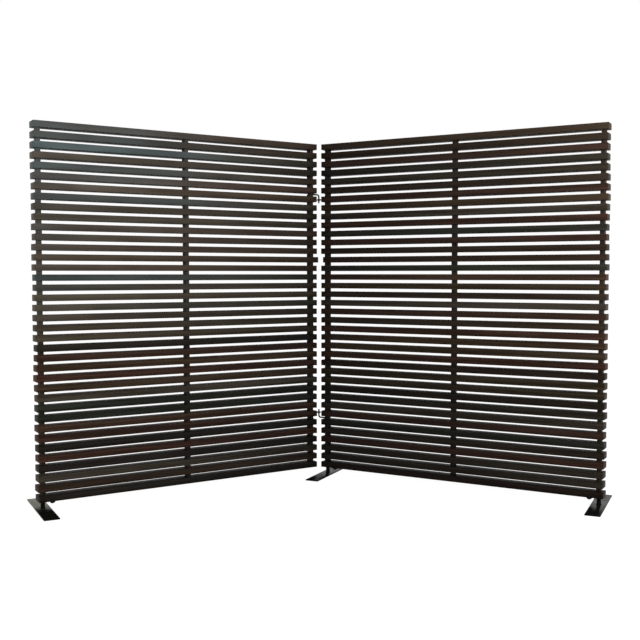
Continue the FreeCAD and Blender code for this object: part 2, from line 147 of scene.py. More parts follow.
def lathe(bm: bmesh.types.BMesh, outline: list[tuple[float, float]], place: Vector,
          closed: bool = False, steps: int = 48) -> list:
    """Turn an outline about the Z axis.

    Args:
        bm: The bmesh that takes the shape.
        outline: Radius and height of each corner, in metres.
        place: Where the shape's own origin goes.
        closed: Whether the outline's last corner joins its first, as for a ring.
        steps: Facets round the axis.

    Returns:
        The new vertices.
    """
    before = set(bm.verts)
    corners = [bm.verts.new(place + Vector((radius, 0, height))) for radius, height in outline]
    pairs = list(zip(corners, corners[1:]))
    if closed:
        pairs.append((corners[-1], corners[0]))
    edges = [bm.edges.new(pair) for pair in pairs]
    bmesh.ops.spin(bm, geom=corners + edges, cent=place, axis=(0, 0, 1), angle=2 * math.pi,
                   steps=steps, use_merge=True)
    made = [vert for vert in bm.verts if vert not in before]
    bmesh.ops.remove_doubles(bm, verts=made, dist=0.01 * MM)
    return [vert for vert in bm.verts if vert not in before]


def box(bm: bmesh.types.BMesh, size: Vector, centre: Vector) -> list:
    """Add a box of a size, round a centre, and return its vertices."""
    made = bmesh.ops.create_cube(bm, size=1.0)["verts"]
    bmesh.ops.scale(bm, vec=size, verts=made)
    bmesh.ops.translate(bm, vec=centre, verts=made)
    return made


def shade_smooth(piece: bpy.types.Object, angle: float = 35.0) -> None:
    """Shade a piece smooth, apart from edges sharper than an angle in degrees."""
    piece.data.shade_smooth()
    piece.data.set_sharp_from_angle(angle=math.radians(angle))


# ------------------------------------------------------------------ finishes

class Stain(Enum):
    """The colours that boards of one batch took from the same dark stain."""

    EBONY = "#1f1b17"
    ESPRESSO = "#34281f"
    UMBER = "#483829"
    MAHOGANY = "#462f26"
    OLIVE = "#3d3628"
    MOSS = "#2a2f28"
    ASH = "#453f36"


@dataclass(frozen=True)
class StainedHardwood:
    """Oiled tropical hardwood, planed and dipped in an espresso stain.

    The eye sees straight dark grain with paler fibres, a satin skin that goes duller where the
    open pores drank the stain, and a batch of boards that differ a little in hue.
    """

    name: str = "stained_hardwood"
    grain_width: float = 7 * MM      # bands of early and late wood, drawn coarse enough to show
    grain_run: float = 0.55          # how far one band runs along a board
    fibre_width: float = 1.6 * MM    # real fibres are finer than a pixel, so these are widened
    fibre_run: float = 60 * MM
    patch_run: float = 0.35          # patches where the painted sheen is stronger
    patch_width: float = 50 * MM
    band_shade: str = "#b3aaa2"      # multiplies the stain in the dark bands
    fibre_lift: str = "#1c1916"      # adds to the stain on the pale fibres
    roughness: float = 0.52
    specular: float = 0.05
    cool_sheen: str = "#677475"      # the greys of the painted sheen: reflected light painted into the stain
    warm_sheen: str = "#7e7366"
    board_run: float = 6.0           # the painted sheen's hue changes from board to board, not along one
    board_width: float = 0.3

    def build(self) -> bpy.types.Material:
        """Make the material."""
        material, tree = new_material(self.name)
        place = add_node(tree, "ShaderNodeAttribute", {"attribute_name": GRAIN})
        tone_and_shade = add_node(tree, "ShaderNodeAttribute", {"attribute_name": TONE_AND_SHADE})
        bloom_and_sheen = add_node(tree, "ShaderNodeAttribute", {"attribute_name": SHEEN})
        bands = self.streaks(tree, place, self.grain_run, self.grain_width, detail=3.0)
        fibres = self.streaks(tree, place, self.fibre_run, self.fibre_width, detail=2.0)
        patches = self.streaks(tree, place, self.patch_run, self.patch_width, detail=2.0)

        dark = add_node(tree, "ShaderNodeMix", {"data_type": "RGBA", "blend_type": "MULTIPLY"},
                        {0: 1.0, 6: tone_and_shade.outputs["Color"], 7: linear(self.band_shade)})
        pale = add_node(tree, "ShaderNodeMix", {"data_type": "RGBA", "blend_type": "ADD"},
                        {0: 1.0, 6: tone_and_shade.outputs["Color"], 7: linear(self.fibre_lift)})
        band_step = add_node(tree, "ShaderNodeMapRange", {"interpolation_type": "SMOOTHSTEP"},
                             {"Value": bands, "From Min": 0.38, "From Max": 0.62})
        grain = add_node(tree, "ShaderNodeMix", {"data_type": "RGBA"},
                         {0: band_step.outputs[0], 6: dark.outputs[2], 7: tone_and_shade.outputs["Color"]})
        fibre_step = add_node(tree, "ShaderNodeMapRange", {"interpolation_type": "SMOOTHSTEP"},
                              {"Value": fibres, "From Min": 0.5, "From Max": 0.75,
                               "To Max": 0.6})
        fibred = add_node(tree, "ShaderNodeMix", {"data_type": "RGBA"},
                          {0: fibre_step.outputs[0], 6: grain.outputs[2], 7: pale.outputs[2]})
        patch_step = add_node(tree, "ShaderNodeMapRange", {"interpolation_type": "SMOOTHSTEP"},
                              {"Value": patches, "From Min": 0.3, "From Max": 0.7,
                               "To Min": 0.5})
        # painted sheen: grey reflected light mixed into the stain's colour, in patches
        sheen_share = add_node(tree, "ShaderNodeMath", {"operation": "MULTIPLY"},
                               {0: patch_step.outputs[0], 1: bloom_and_sheen.outputs["Fac"]})
        hues = self.streaks(tree, place, self.board_run, self.board_width, detail=0.0)
        coolness = add_node(tree, "ShaderNodeMath", {"operation": "ADD"},
                            {0: hues, 1: bloom_and_sheen.outputs["Fac"]})
        hue_step = add_node(tree, "ShaderNodeMapRange", {"interpolation_type": "SMOOTHSTEP"},
                            {"Value": coolness.outputs[0], "From Min": 0.65, "From Max": 1.2})
        hue = add_node(tree, "ShaderNodeMix", {"data_type": "RGBA"},
                       {0: hue_step.outputs[0], 6: linear(self.warm_sheen),
                        7: linear(self.cool_sheen)})
        coloured = add_node(tree, "ShaderNodeMix", {"data_type": "RGBA"},
                            {0: sheen_share.outputs[0], 6: fibred.outputs[2],
                             7: hue.outputs[2]})
        roughness = add_node(tree, "ShaderNodeMapRange", None,
                             {"Value": fibres, "To Min": self.roughness - 0.08,
                              "To Max": self.roughness + 0.14})
        bump = add_node(tree, "ShaderNodeBump", None,
                        {"Strength": 0.5, "Distance": 0.4 * MM, "Height": fibres})
        shader = add_node(tree, "ShaderNodeBsdfPrincipled", None,
                          {"Base Color": coloured.outputs[2],
                           "Roughness": roughness.outputs[0],
                           "Specular IOR Level": self.specular,
                           "IOR": 1.5,
                           "Normal": bump.outputs[0]})
        show_surface(tree, shader.outputs[0])
        return material

    @staticmethod
    def streaks(tree: bpy.types.NodeTree, place: bpy.types.Node, run: float, width: float,
                detail: float) -> bpy.types.NodeSocket:
        """Noise drawn out along a board.

        Args:
            tree: The material's node tree.
            place: The node that gives the place in the board.
            run: Length of one streak along the board, in metres.
            width: Width of one streak across the board, in metres.
            detail: Octaves of the noise.

        Returns:
            The noise, about 0.5 on average.
        """
        stretch = add_node(tree, "ShaderNodeMapping", None,
                           {"Vector": place.outputs["Vector"],
                            "Scale": (1 / run, 0.5 / width, 0.5 / width)})
        noise = add_node(tree, "ShaderNodeTexNoise", None,
                         {"Vector": stretch.outputs[0], "Scale": 1.0, "Detail": detail,
                          "Roughness": 0.6})
        return noise.outputs[0]


@dataclass(frozen=True)
class PaintedSteel:
    """Hot-rolled steel under gloss black enamel: deep, smooth, with a faint sprayed ripple."""

    name: str = "gloss_black_steel"
    colour: str = "#080808"
    dirt: str = "#1a1917"
    ripple: float = 5 * MM       # orange peel, widened so that it shows
    scuff: float = 1 / 28        # one scuffed patch, about 36 mm
    roughness: float = 0.18
    specular: float = 0.012
    worn: float = 0.3            # how much rougher the scuffed patches are
    film: float = 0.0            # share of painted reflection of the white backdrop behind the edge
    film_colour: str = "#959588"
    film_edge: float = 0.0       # place of that edge along Y, in metres
    film_blend: float = 0.03

    def build(self) -> bpy.types.Material:
        """Make the material."""
        material, tree = new_material(self.name)
        place = add_node(tree, "ShaderNodeTexCoord")
        peel = add_node(tree, "ShaderNodeTexNoise", None,
                        {"Vector": place.outputs["Object"], "Scale": 1 / self.ripple,
                         "Detail": 2.0})
        scuffs = add_node(tree, "ShaderNodeTexNoise", None,
                          {"Vector": place.outputs["Object"], "Scale": 1 / self.scuff, "Detail": 5.0,
                           "Roughness": 0.65})
        scuff_step = add_node(tree, "ShaderNodeMapRange", {"interpolation_type": "SMOOTHSTEP"},
                              {"Value": scuffs.outputs[0], "From Min": 0.5, "From Max": 0.72,
                               "To Min": self.roughness, "To Max": self.roughness + self.worn})
        dirty = add_node(tree, "ShaderNodeMix", {"data_type": "RGBA"},
                         {0: scuffs.outputs[0], 6: linear(self.colour), 7: linear(self.dirt)})
        split = add_node(tree, "ShaderNodeSeparateXYZ", None, {"Vector": place.outputs["Object"]})
        # painted reflection: the back of the plate greyed as if it mirrored the white backdrop
        reflection_step = add_node(tree, "ShaderNodeMapRange", {"interpolation_type": "SMOOTHSTEP"},
                             {"Value": split.outputs["Y"],
                              "From Min": self.film_edge - self.film_blend,
                              "From Max": self.film_edge + self.film_blend,
                              "To Max": self.film})
        dusty = add_node(tree, "ShaderNodeMix", {"data_type": "RGBA"},
                         {0: reflection_step.outputs[0], 6: dirty.outputs[2],
                          7: linear(self.film_colour)})
        bump = add_node(tree, "ShaderNodeBump", None,
                        {"Strength": 0.15, "Distance": 0.3 * MM, "Height": peel.outputs[0]})
        shader = add_node(tree, "ShaderNodeBsdfPrincipled", None,
                          {"Base Color": dusty.outputs[2], "Roughness": scuff_step.outputs[0],
                           "Specular IOR Level": self.specular, "IOR": 1.5,
                           "Normal": bump.outputs[0]})
        show_surface(tree, shader.outputs[0])
        return material


@dataclass(frozen=True)
class BlackenedSteel:
    """Forged bar, blackened in oil: near black, satin, with a hammered unevenness."""

    name: str = "blackened_steel"
    colour: str = "#171615"
    rust: str = "#2b2019"
    hammer: float = 6 * MM
    roughness: float = 0.42

    def build(self) -> bpy.types.Material:
        """Make the material."""
        material, tree = new_material(self.name)
        place = add_node(tree, "ShaderNodeTexCoord")
        dents = add_node(tree, "ShaderNodeTexNoise", None,
                         {"Vector": place.outputs["Object"], "Scale": 1 / self.hammer,
                          "Detail": 3.0})
        rust = add_node(tree, "ShaderNodeMapRange", {"interpolation_type": "SMOOTHSTEP"},
                        {"Value": dents.outputs[0], "From Min": 0.55, "From Max": 0.8,
                         "To Max": 0.5})
        colour = add_node(tree, "ShaderNodeMix", {"data_type": "RGBA"},
                          {0: rust.outputs[0], 6: linear(self.colour), 7: linear(self.rust)})
        gloss = add_node(tree, "ShaderNodeMapRange", None,
                         {"Value": dents.outputs[0], "To Min": self.roughness - 0.1,
                          "To Max": self.roughness + 0.15})
        bump = add_node(tree, "ShaderNodeBump", None,
                        {"Strength": 0.3, "Distance": 0.5 * MM, "Height": dents.outputs[0]})
        shader = add_node(tree, "ShaderNodeBsdfPrincipled", None,
                          {"Base Color": colour.outputs[2], "Roughness": gloss.outputs[0],
                           "Metallic": 0.6, "Normal": bump.outputs[0]})
        show_surface(tree, shader.outputs[0])
        return material


@dataclass(frozen=True)
class ZincPlate:
    """Bright zinc-plated steel: pale grey metal with a mottled bloom."""

    name: str = "zinc_plate"
    colour: str = "#b4b4b0"
    bloom_and_sheen: str = "#8f8f8c"
    mottle: float = 3 * MM
    roughness: float = 0.32

    def build(self) -> bpy.types.Material:
        """Make the material."""
        material, tree = new_material(self.name)
        place = add_node(tree, "ShaderNodeTexCoord")
        bloom_and_sheen = add_node(tree, "ShaderNodeTexNoise", None,
                         {"Vector": place.outputs["Object"], "Scale": 1 / self.mottle,
                          "Detail": 4.0})
        colour = add_node(tree, "ShaderNodeMix", {"data_type": "RGBA"},
                          {6: linear(self.colour), 7: linear(self.bloom_and_sheen)})
        tree.links.new(bloom_and_sheen.outputs[0], colour.inputs[0])
        gloss = add_node(tree, "ShaderNodeMapRange", None,
                         {"Value": bloom_and_sheen.outputs[0], "To Min": self.roughness - 0.1,
                          "To Max": self.roughness + 0.2})
        shader = add_node(tree, "ShaderNodeBsdfPrincipled", None,
                          {"Base Color": colour.outputs[2], "Roughness": gloss.outputs[0],
                           "Metallic": 1.0})
        show_surface(tree, shader.outputs[0])
        return material


@dataclass
class Finishes:
    """The finishes of the screen, each made once."""

    wood: bpy.types.Material = field(default_factory=lambda: StainedHardwood().build())
    paint: bpy.types.Material = field(default_factory=lambda: PaintedSteel().build())
    # black paint with a painted reflection on the back half of the left plate
    dusty_paint: bpy.types.Material = field(default_factory=lambda: PaintedSteel(
        name="dusty_black_steel", film=0.9, film_edge=left_foot_line()).build())
    black: bpy.types.Material = field(default_factory=lambda: BlackenedSteel().build())
    zinc: bpy.types.Material = field(default_factory=lambda: ZincPlate().build())


# ------------------------------------------------------------------ the panels' frames

@dataclass
class Stack:
    """Sizes that both panels share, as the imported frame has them."""

    count: int = 38
    group: int = 2
    length: float = 1440 * MM
    depth: float = 63.5 * MM
    thickness: float = 28.575 * MM
    gap: float = 15.875 * MM
    bottom: float = 37 * MM
    reach: float = 30 * MM
    column_inset: float = 24 * MM
    edge: float = 1.6 * MM         # a touch rounder than the frame's edges, so that it shows

    @property
    def pitch(self) -> float:
        """Height from one slat to the next."""
        return self.thickness + self.gap

    @property
    def top(self) -> float:
        """Height of the top slat's upper face."""
        return self.bottom + (self.count - 1) * self.pitch + self.thickness

    def slat_middle(self, number: int) -> float:
        """Height of the middle of a slat, counted from the top."""
        return self.bottom + (self.count - number) * self.pitch + self.thickness / 2

    def columns(self) -> dict[str, float]:
        """Places of the rod columns along a panel, from the fold axis."""
        return {
            "joint": self.reach + self.column_inset,
            "middle": self.reach + self.length / 2,
            "outer": self.reach + self.length - self.column_inset,
        }


class Side(Enum):
    """The two panels, by the angle in degrees that turns each about the fold axis."""

    RIGHT = -30.5
    LEFT = 210.5

    @property
    def label(self) -> str:
        """The panel's name in the frame's nodes."""
        return self.name.lower()

    @property
    def body(self) -> str:
        """The body that the panel's pieces ride on."""
        return f"{self.label}_panel"

    def matrix(self) -> Matrix:
        """From the panel's own frame to the row's frame."""
        axis = Vector(frame["joints"][0]["pos_m"])
        axis.z = 0.0
        return Matrix.Translation(axis) @ Matrix.Rotation(math.radians(self.value), 4, "Z")


STACK = Stack()


def left_foot_line() -> float:
    """Place of the left foot's post along Y, in the row's frame."""
    return (Side.LEFT.matrix() @ Vector((STACK.columns()["outer"], 0, 0))).y


def place_piece(bm: bmesh.types.BMesh, name: str, side: Side, material: bpy.types.Material,
                nodes: list[str]) -> bpy.types.Object:
    """Args:
        bm: The piece, drawn in the panel's own frame.
        name: The piece's name.
        side: The panel that it belongs to.
        material: Its finish.
        nodes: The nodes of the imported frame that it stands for.

    Returns:
        The finished piece.
    """
    bmesh.ops.transform(bm, matrix=side.matrix(), verts=bm.verts)
    piece = mesh_object(bm, name)
    piece.data.materials.append(material)
    shade_smooth(piece)
    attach(piece, side.body)
    if nodes:
        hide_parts(*nodes)
    LOG.info("%s: %d faces on %s", name, len(piece.data.polygons), side.body)
    return piece


# ------------------------------------------------------------------ wood

@dataclass
class Timber:
    """How the boards of one panel differ: their colours, lengths, bows and grain."""

    side: Side
    seed: int
    bow: float = 1.1 * MM          # how far a board strays from straight
    length_slop: float = 2.0 * MM  # how far a sawn end strays from the line
    held_share: float = 0.1        # share of the length, at the fold, where the bow fades out
    slant: float = 0.012           # how far a sawn end is out of square
    step: float = 0.06             # length of one facet along a board
    bloom_and_sheen: float = 0.0             # painted sheen: grey reflected light at the top of the free end
    damp: float = 0.5              # brightness that the painted shade leaves on the stain at the ground
    damp_height: float = 0.4       # share of the height below which the painted shade darkens the stain
    fold_shade: float = 0.42       # brightness that the painted shade leaves on the stain at the fold
    fold_sheen: float = 0.05       # share of the painted sheen that reaches the fold
    middle_share: float = 0.55     # share of the painted sheen that is there above the middle band
    middle_band: tuple = (0.4, 0.52)
    top_band: tuple = (0.75, 0.95)
    long_ends: dict[int, float] = field(default_factory=dict)
    tones: dict[int, tuple] = field(default_factory=dict)
    sheen_shares: dict[int, float] = field(default_factory=dict)
    offsets: dict[int, Vector] = field(default_factory=dict)

    def __post_init__(self) -> None:
        """Draw each board's colour, share of painted sheen and grain."""
        draw = random.Random(self.seed)
        stains = list(Stain)
        for number in range(1, STACK.count + 1):
            first = Vector(linear(draw.choice(stains).value)[:3])
            second = Vector(linear(draw.choice(stains).value)[:3])
            mixed = first.lerp(second, draw.random() ** 2) * draw.uniform(0.8, 1.2)
            self.tones[number] = (*mixed, 1.0)
            self.sheen_shares[number] = draw.uniform(0.7, 1.25)
            self.offsets[number] = Vector((draw.uniform(0, 40), draw.uniform(0, 9),
                                           draw.uniform(0, 9)))

    def painted_shade_and_sheen(self, outward: np.ndarray, up: np.ndarray) -> tuple[np.ndarray, np.ndarray]:
        """Painted shade near the fold and the ground, and painted sheen high on the free end.

        Args:
            outward: Places along the panel, 0 at the fold and 1 at the free end.
            up: Heights, 0 at the ground and 1 at the top.

        Returns:
            The brightness left by the painted shade, and the share of painted sheen.
        """
        # painted shade: darker towards the ground and the fold
        low = np.clip(up / self.damp_height, 0, 1)
        bright = self.fold_shade + (1 - self.fold_shade) * outward
        bright = bright * (self.damp + (1 - self.damp) * low)
        # painted sheen: grey reflected light, mostly high on the free end and least at the fold
        middle = self.middle_share * np.interp(up, self.middle_band, (0, 1))
        high = (1 - self.middle_share) * np.interp(up, self.top_band, (0, 1))
        spread = self.fold_sheen + (1 - self.fold_sheen) * outward
        bloom_and_sheen = self.bloom_and_sheen * (middle + high) * spread
        return bright, bloom_and_sheen

    def number_at(self, height: float) -> int:
        """The board that lies at a height, or just above it."""
        step = round((height - STACK.slat_middle(STACK.count)) / STACK.pitch)
        return min(max(STACK.count - step, 1), STACK.count)

    def stamp(self, piece: bpy.types.Object) -> None:
        """Write the grain, the tone with painted shade and the painted sheen on a finished wooden piece.

        Args:
            piece: A piece of this panel, already turned into its place.
        """
        mesh = piece.data
        count = len(mesh.vertices)
        places = np.empty(count * 3, np.float32)
        mesh.vertices.foreach_get("co", places)
        back = np.array(self.side.matrix().inverted(), dtype=np.float64)
        local = places.reshape(-1, 3) @ back[:3, :3].T + back[:3, 3]
        numbers = [self.number_at(height) for height in local[:, 2]]
        outward = np.clip((local[:, 0] - STACK.reach) / STACK.length, 0, 1)
        bright, bloom_and_sheen = self.painted_shade_and_sheen(outward, local[:, 2] / STACK.top)
        grain = local + np.array([self.offsets[number] for number in numbers])
        tone_and_shade = np.array([self.tones[number] for number in numbers])
        # painted shade multiplied into each board's tone
        tone_and_shade[:, :3] *= bright[:, None]
        # painted sheen, stronger or weaker from board to board
        bloom_and_sheen = bloom_and_sheen * np.array([self.sheen_shares[number] for number in numbers])
        for name, kind, key, values in ((GRAIN, "FLOAT_VECTOR", "vector", grain),
                                        (TONE_AND_SHADE, "FLOAT_COLOR", "color", tone_and_shade),
                                        (SHEEN, "FLOAT", "value", bloom_and_sheen)):
            attribute = mesh.attributes.new(name, kind, "POINT")
            attribute.data.foreach_set(key, values.astype(np.float32).ravel())


@dataclass
class Slats:
    """The boards of one panel, a few to a piece, as the frame groups them."""

    timber: Timber
    finishes: Finishes
    counterbore: float = 24 * MM
    counterbore_depth: float = 12 * MM

    def board(self, bm: bmesh.types.BMesh, number: int, draw: random.Random) -> None:
        """Add one board with eased edges, sawn ends and a slight bow.

        Args:
            bm: The bmesh that takes the board, in the panel's frame.
            number: The board, counted from the top.
            draw: The panel's random draws.
        """
        # At the fold a board only falls short, so the panels stay clear of each other when closed.
        inner = STACK.reach + draw.uniform(0.2, 0.7) * self.timber.length_slop
        inner -= self.timber.long_ends.get(number, 0.0)
        outer = STACK.reach + STACK.length + draw.uniform(-1, 1) * self.timber.length_slop
        size = Vector((outer - inner, STACK.depth, STACK.thickness))
        centre = Vector(((inner + outer) / 2, 0, STACK.slat_middle(number)))
        made = box(bm, size, centre)
        edges = list({edge for vert in made for edge in vert.link_edges})
        before = set(bm.verts) - set(made)
        bevel_edges(bm, edges, STACK.edge)
        for cut in range(1, int(size.x / self.timber.step)):
            mine = [vert for vert in bm.verts if vert not in before]
            geom = mine + list({e for v in mine for e in v.link_edges})
            geom += list({f for v in mine for f in v.link_faces})
            place = Vector((inner + cut * self.timber.step, 0, 0))
            bmesh.ops.bisect_plane(bm, geom=geom, plane_co=place, plane_no=(1, 0, 0))
        mine = [vert for vert in bm.verts if vert not in before]
        self.bend(mine, draw)

    def bend(self, verts: list, draw: random.Random) -> None:
        """Bow a board a little, with its ends sawn slightly out of square.

        The bow fades out towards the fold, so that the two panels' boards stay clear there.
        """
        phase = draw.uniform(0, 2 * math.pi)
        waves = draw.uniform(0.7, 1.6)
        bow = self.timber.bow * draw.uniform(0.3, 1.0)
        shift = draw.uniform(-0.8, 0.8) * self.timber.bow
        slant = draw.uniform(-self.timber.slant, self.timber.slant)
        for vert in verts:
            along = (vert.co.x - STACK.reach) / STACK.length
            free = min(max(along / self.timber.held_share, 0), 1)
            stray = shift + bow * math.sin(waves * 2 * math.pi * along + phase)
            vert.co.y += free * stray
            vert.co.x += slant * vert.co.y

    def build(self) -> None:
        """Build every group of boards."""
        side = self.timber.side
        draw = random.Random(self.timber.seed + 1)
        for first in range(1, STACK.count + 1, STACK.group):
            last = first + STACK.group - 1
            bm = bmesh.new()
            for number in range(first, last + 1):
                self.board(bm, number, draw)
            span = f"{first:02d}_{last:02d}"
            piece = place_piece(bm, f"{side.label}_boards_{span}", side, self.finishes.wood,
                                [f"{side.label}_slats_{span}"])
            if first == 1:
                self.drill(piece, STACK.top, list(STACK.columns()))
            if last == STACK.count:
                feet = ("joint", "outer") if side is Side.RIGHT else ("outer",)
                free = [name for name in STACK.columns() if name not in feet]
                self.drill(piece, STACK.bottom, free)
            self.timber.stamp(piece)

    def drill(self, piece: bpy.types.Object, height: float, columns: list[str]) -> None:
        """Cut the counterbores that hide the rods' nuts.

        Args:
            piece: The boards to drill.
            height: The face that the counterbores open in.
            columns: The rod columns that have one.
        """
        bm = bmesh.new()
        for name in columns:
            made = bmesh.ops.create_cone(bm, cap_ends=True, segments=48,
                                         radius1=self.counterbore / 2,
                                         radius2=self.counterbore / 2,
                                         depth=2 * self.counterbore_depth)["verts"]
            place = Vector((STACK.columns()[name], 0, height))
            bmesh.ops.translate(bm, vec=place, verts=made)
        bmesh.ops.transform(bm, matrix=self.timber.side.matrix(), verts=bm.verts)
        cutter = mesh_object(bm, "counterbore_cutter")
        cut = piece.modifiers.new("counterbores", "BOOLEAN")
        cut.object = cutter
        cut.operation = "DIFFERENCE"
        cut.solver = "EXACT"
        graph = bpy.context.evaluated_depsgraph_get()
        drilled = bpy.data.meshes.new_from_object(piece.evaluated_get(graph))
        piece.modifiers.clear()
        piece.data = drilled
        bpy.data.objects.remove(cutter)


@dataclass
class Spacers:
    """Columns of short blocks between the boards."""

    timber: Timber
    finishes: Finishes
    width: float = 19 * MM
    depth: float = 34 * MM
    edge: float = 0.8 * MM
    ring: float = 4 * MM        # room that the hook's ring takes from one block
    turn: float = 0.05          # how far a block is turned on its rod, in radians
    along: float = 0.6 * MM     # how far it strays along the panel
    across: float = 1 * MM      # and across it

    def build(self) -> None:
        """Build the panel's three columns."""
        side = self.timber.side
        draw = random.Random(self.timber.seed + 2)
        for column, place in STACK.columns().items():
            bm = bmesh.new()
            for number in range(1, STACK.count):
                self.block(bm, place, number, column, draw)
            piece = place_piece(bm, f"{side.label}_blocks_{column}", side, self.finishes.wood,
                                [f"{side.label}_spacers_{column}"])
            self.timber.stamp(piece)

    def block(self, bm: bmesh.types.BMesh, place: float, number: int, column: str,
              draw: random.Random) -> None:
        """Add the block below one board.

        Args:
            bm: The bmesh that takes the block.
            place: The column's place along the panel.
            number: The board above the block.
            column: The column's name.
            draw: The panel's random draws.
        """
        side = self.timber.side
        low = STACK.slat_middle(number) - STACK.thickness / 2 - STACK.gap
        high = low + STACK.gap
        if column == "joint" and side is Side.LEFT and number == HookAndEye.TOP_GAP:
            high -= self.ring
        if column == "joint" and side is Side.RIGHT and number == HookAndEye.BOTTOM_GAP:
            low += self.ring
        size = Vector((self.width, self.depth, high - low))
        made = box(bm, size, Vector((0, 0, (low + high) / 2)))
        before = set(bm.verts) - set(made)
        upright = [e for v in made for e in v.link_edges
                   if abs(e.verts[0].co.z - e.verts[1].co.z) > 1 * MM]
        bevel_edges(bm, list(set(upright)), self.edge)
        mine = [vert for vert in bm.verts if vert not in before]
        turn = Matrix.Rotation(draw.uniform(-self.turn, self.turn), 3, "Z")
        bmesh.ops.rotate(bm, cent=(0, 0, 0), matrix=turn, verts=mine)
        shift = Vector((place + draw.uniform(-self.along, self.along),
                        draw.uniform(-self.across, self.across), 0))
        bmesh.ops.translate(bm, vec=shift, verts=mine)


# ------------------------------------------------------------------ feet

@dataclass
class Foot:
    """A flat plate and a welded post with its tab; the coach bolt's head is built with the other bolts.
    """

    name: str
    side: Side
    column: str
    finishes: Finishes
    dusty: bool = False          # whether the back half of the plate carries a painted reflection
    plate: Vector = field(default_factory=lambda: Vector((68, 410, 5)) * MM)
    plate_turn: float = 4.5      # degrees that the plate is off square to its panel
    plate_corner: float = 4 * MM
    plate_edge: float = 0.8 * MM
    post_radius: float = 10 * MM
    post_length: float = 29 * MM
    tab: Vector = field(default_factory=lambda: Vector((74, 30, 3)) * MM)
    tab_corner: float = 6 * MM
    tab_edge: float = 0.5 * MM
    tab_overhang: float = 16 * MM
    weld: float = 3 * MM

    @property
    def place(self) -> float:
        """The foot's place along its panel."""
        return STACK.columns()[self.column]

    @property
    def inboard(self) -> int:
        """The direction from the post to the middle of the panel."""
        return 1 if self.column == "joint" else -1

    def build(self) -> None:
        """Build the plate and the post."""
        self.build_plate()
        self.build_post()

    def rounded_plate(self, bm: bmesh.types.BMesh, size: Vector, centre: Vector,
                      corner: float, edge: float) -> None:
        """Add a plate with round corners and eased edges."""
        before = set(bm.verts)
        made = box(bm, size, centre)
        upright = list({e for v in made for e in v.link_edges
                        if abs(e.verts[0].co.z - e.verts[1].co.z) > 0.5 * size.z})
        bevel_edges(bm, upright, corner, segments=5)
        mine = [vert for vert in bm.verts if vert not in before]
        rims = [e for e in {e for v in mine for e in v.link_edges}
                if abs(e.verts[0].co.z - e.verts[1].co.z) < 0.1 * MM and e.is_manifold
                and e.calc_face_angle(0) > 1.0]
        bevel_edges(bm, rims, edge, segments=2)

    def build_plate(self) -> None:
        """The foot plate, flat on the ground."""
        bm = bmesh.new()
        centre = Vector((self.place, 0, self.plate.z / 2))
        self.rounded_plate(bm, self.plate, centre, self.plate_corner, self.plate_edge)
        angle = math.radians(self.plate_turn if self.side is Side.RIGHT else -self.plate_turn)
        turn = Matrix.Rotation(angle, 3, "Z")
        bmesh.ops.rotate(bm, cent=centre, matrix=turn, verts=bm.verts)
        paint = self.finishes.dusty_paint if self.dusty else self.finishes.paint
        place_piece(bm, f"{self.name}_ground_plate", self.side, paint,
                    [f"{self.name}_foot_plate"])

    def build_post(self) -> None:
        """The post with a weld bead at each end, and the tab under the bottom slat."""
        bm = bmesh.new()
        low = self.plate.z
        high = low + self.post_length
        r, w = self.post_radius, self.weld
        outline = [(0, low), (r + w, low), (r + 0.75 * w, low + 0.3 * w),
                   (r + 0.3 * w, low + 0.75 * w), (r, low + w), (r, high - w),
                   (r + 0.3 * w, high - 0.75 * w), (r + 0.75 * w, high - 0.3 * w),
                   (r + w, high), (0, high)]
        lathe(bm, outline, Vector((self.place, 0, 0)))
        shift = self.inboard * (self.tab.x / 2 - self.tab_overhang)
        centre = Vector((self.place + shift, 0, high + self.tab.z / 2))
        self.rounded_plate(bm, self.tab, centre, self.tab_corner, self.tab_edge)
        place_piece(bm, f"{self.name}_post_and_tab", self.side, self.finishes.paint,
                    [f"{self.name}_foot_post"])


@dataclass
class CoachBolts:
    """Domed bolt heads below the tabs, with their shanks."""

    finishes: Finishes
    offset: float = 43 * MM
    seat: float = 34 * MM
    head_radius: float = 14 * MM
    head_height: float = 12 * MM
    shank_radius: float = 4 * MM
    shank_length: float = 23 * MM
    arc_steps: int = 8

    def bolt(self, bm: bmesh.types.BMesh, place: float) -> None:
        """Add one bolt at a place along the panel."""
        ball = (self.head_radius ** 2 + self.head_height ** 2) / (2 * self.head_height)
        widest = math.asin(self.head_radius / ball)
        outline = []
        for step in range(self.arc_steps + 1):
            angle = widest * step / self.arc_steps
            outline.append((ball * math.sin(angle),
                            ball - self.head_height - ball * math.cos(angle)))
        outline += [(self.shank_radius, 0), (self.shank_radius, self.shank_length),
                    (0, self.shank_length)]
        lathe(bm, outline, Vector((place, 0, self.seat)))

    def build(self) -> None:
        """Build the bolts of both panels."""
        outer = STACK.columns()["outer"] - self.offset
        joint = STACK.columns()["joint"] + self.offset
        for side, name, node, places in (
                (Side.LEFT, "left_coach_bolt", "left_foot_bolt", [outer]),
                (Side.RIGHT, "right_coach_bolts", "right_foot_bolts", [outer, joint])):
            bm = bmesh.new()
            for place in places:
                self.bolt(bm, place)
            place_piece(bm, name, side, self.finishes.paint, [node])


# ------------------------------------------------------------------ hooks and eyes

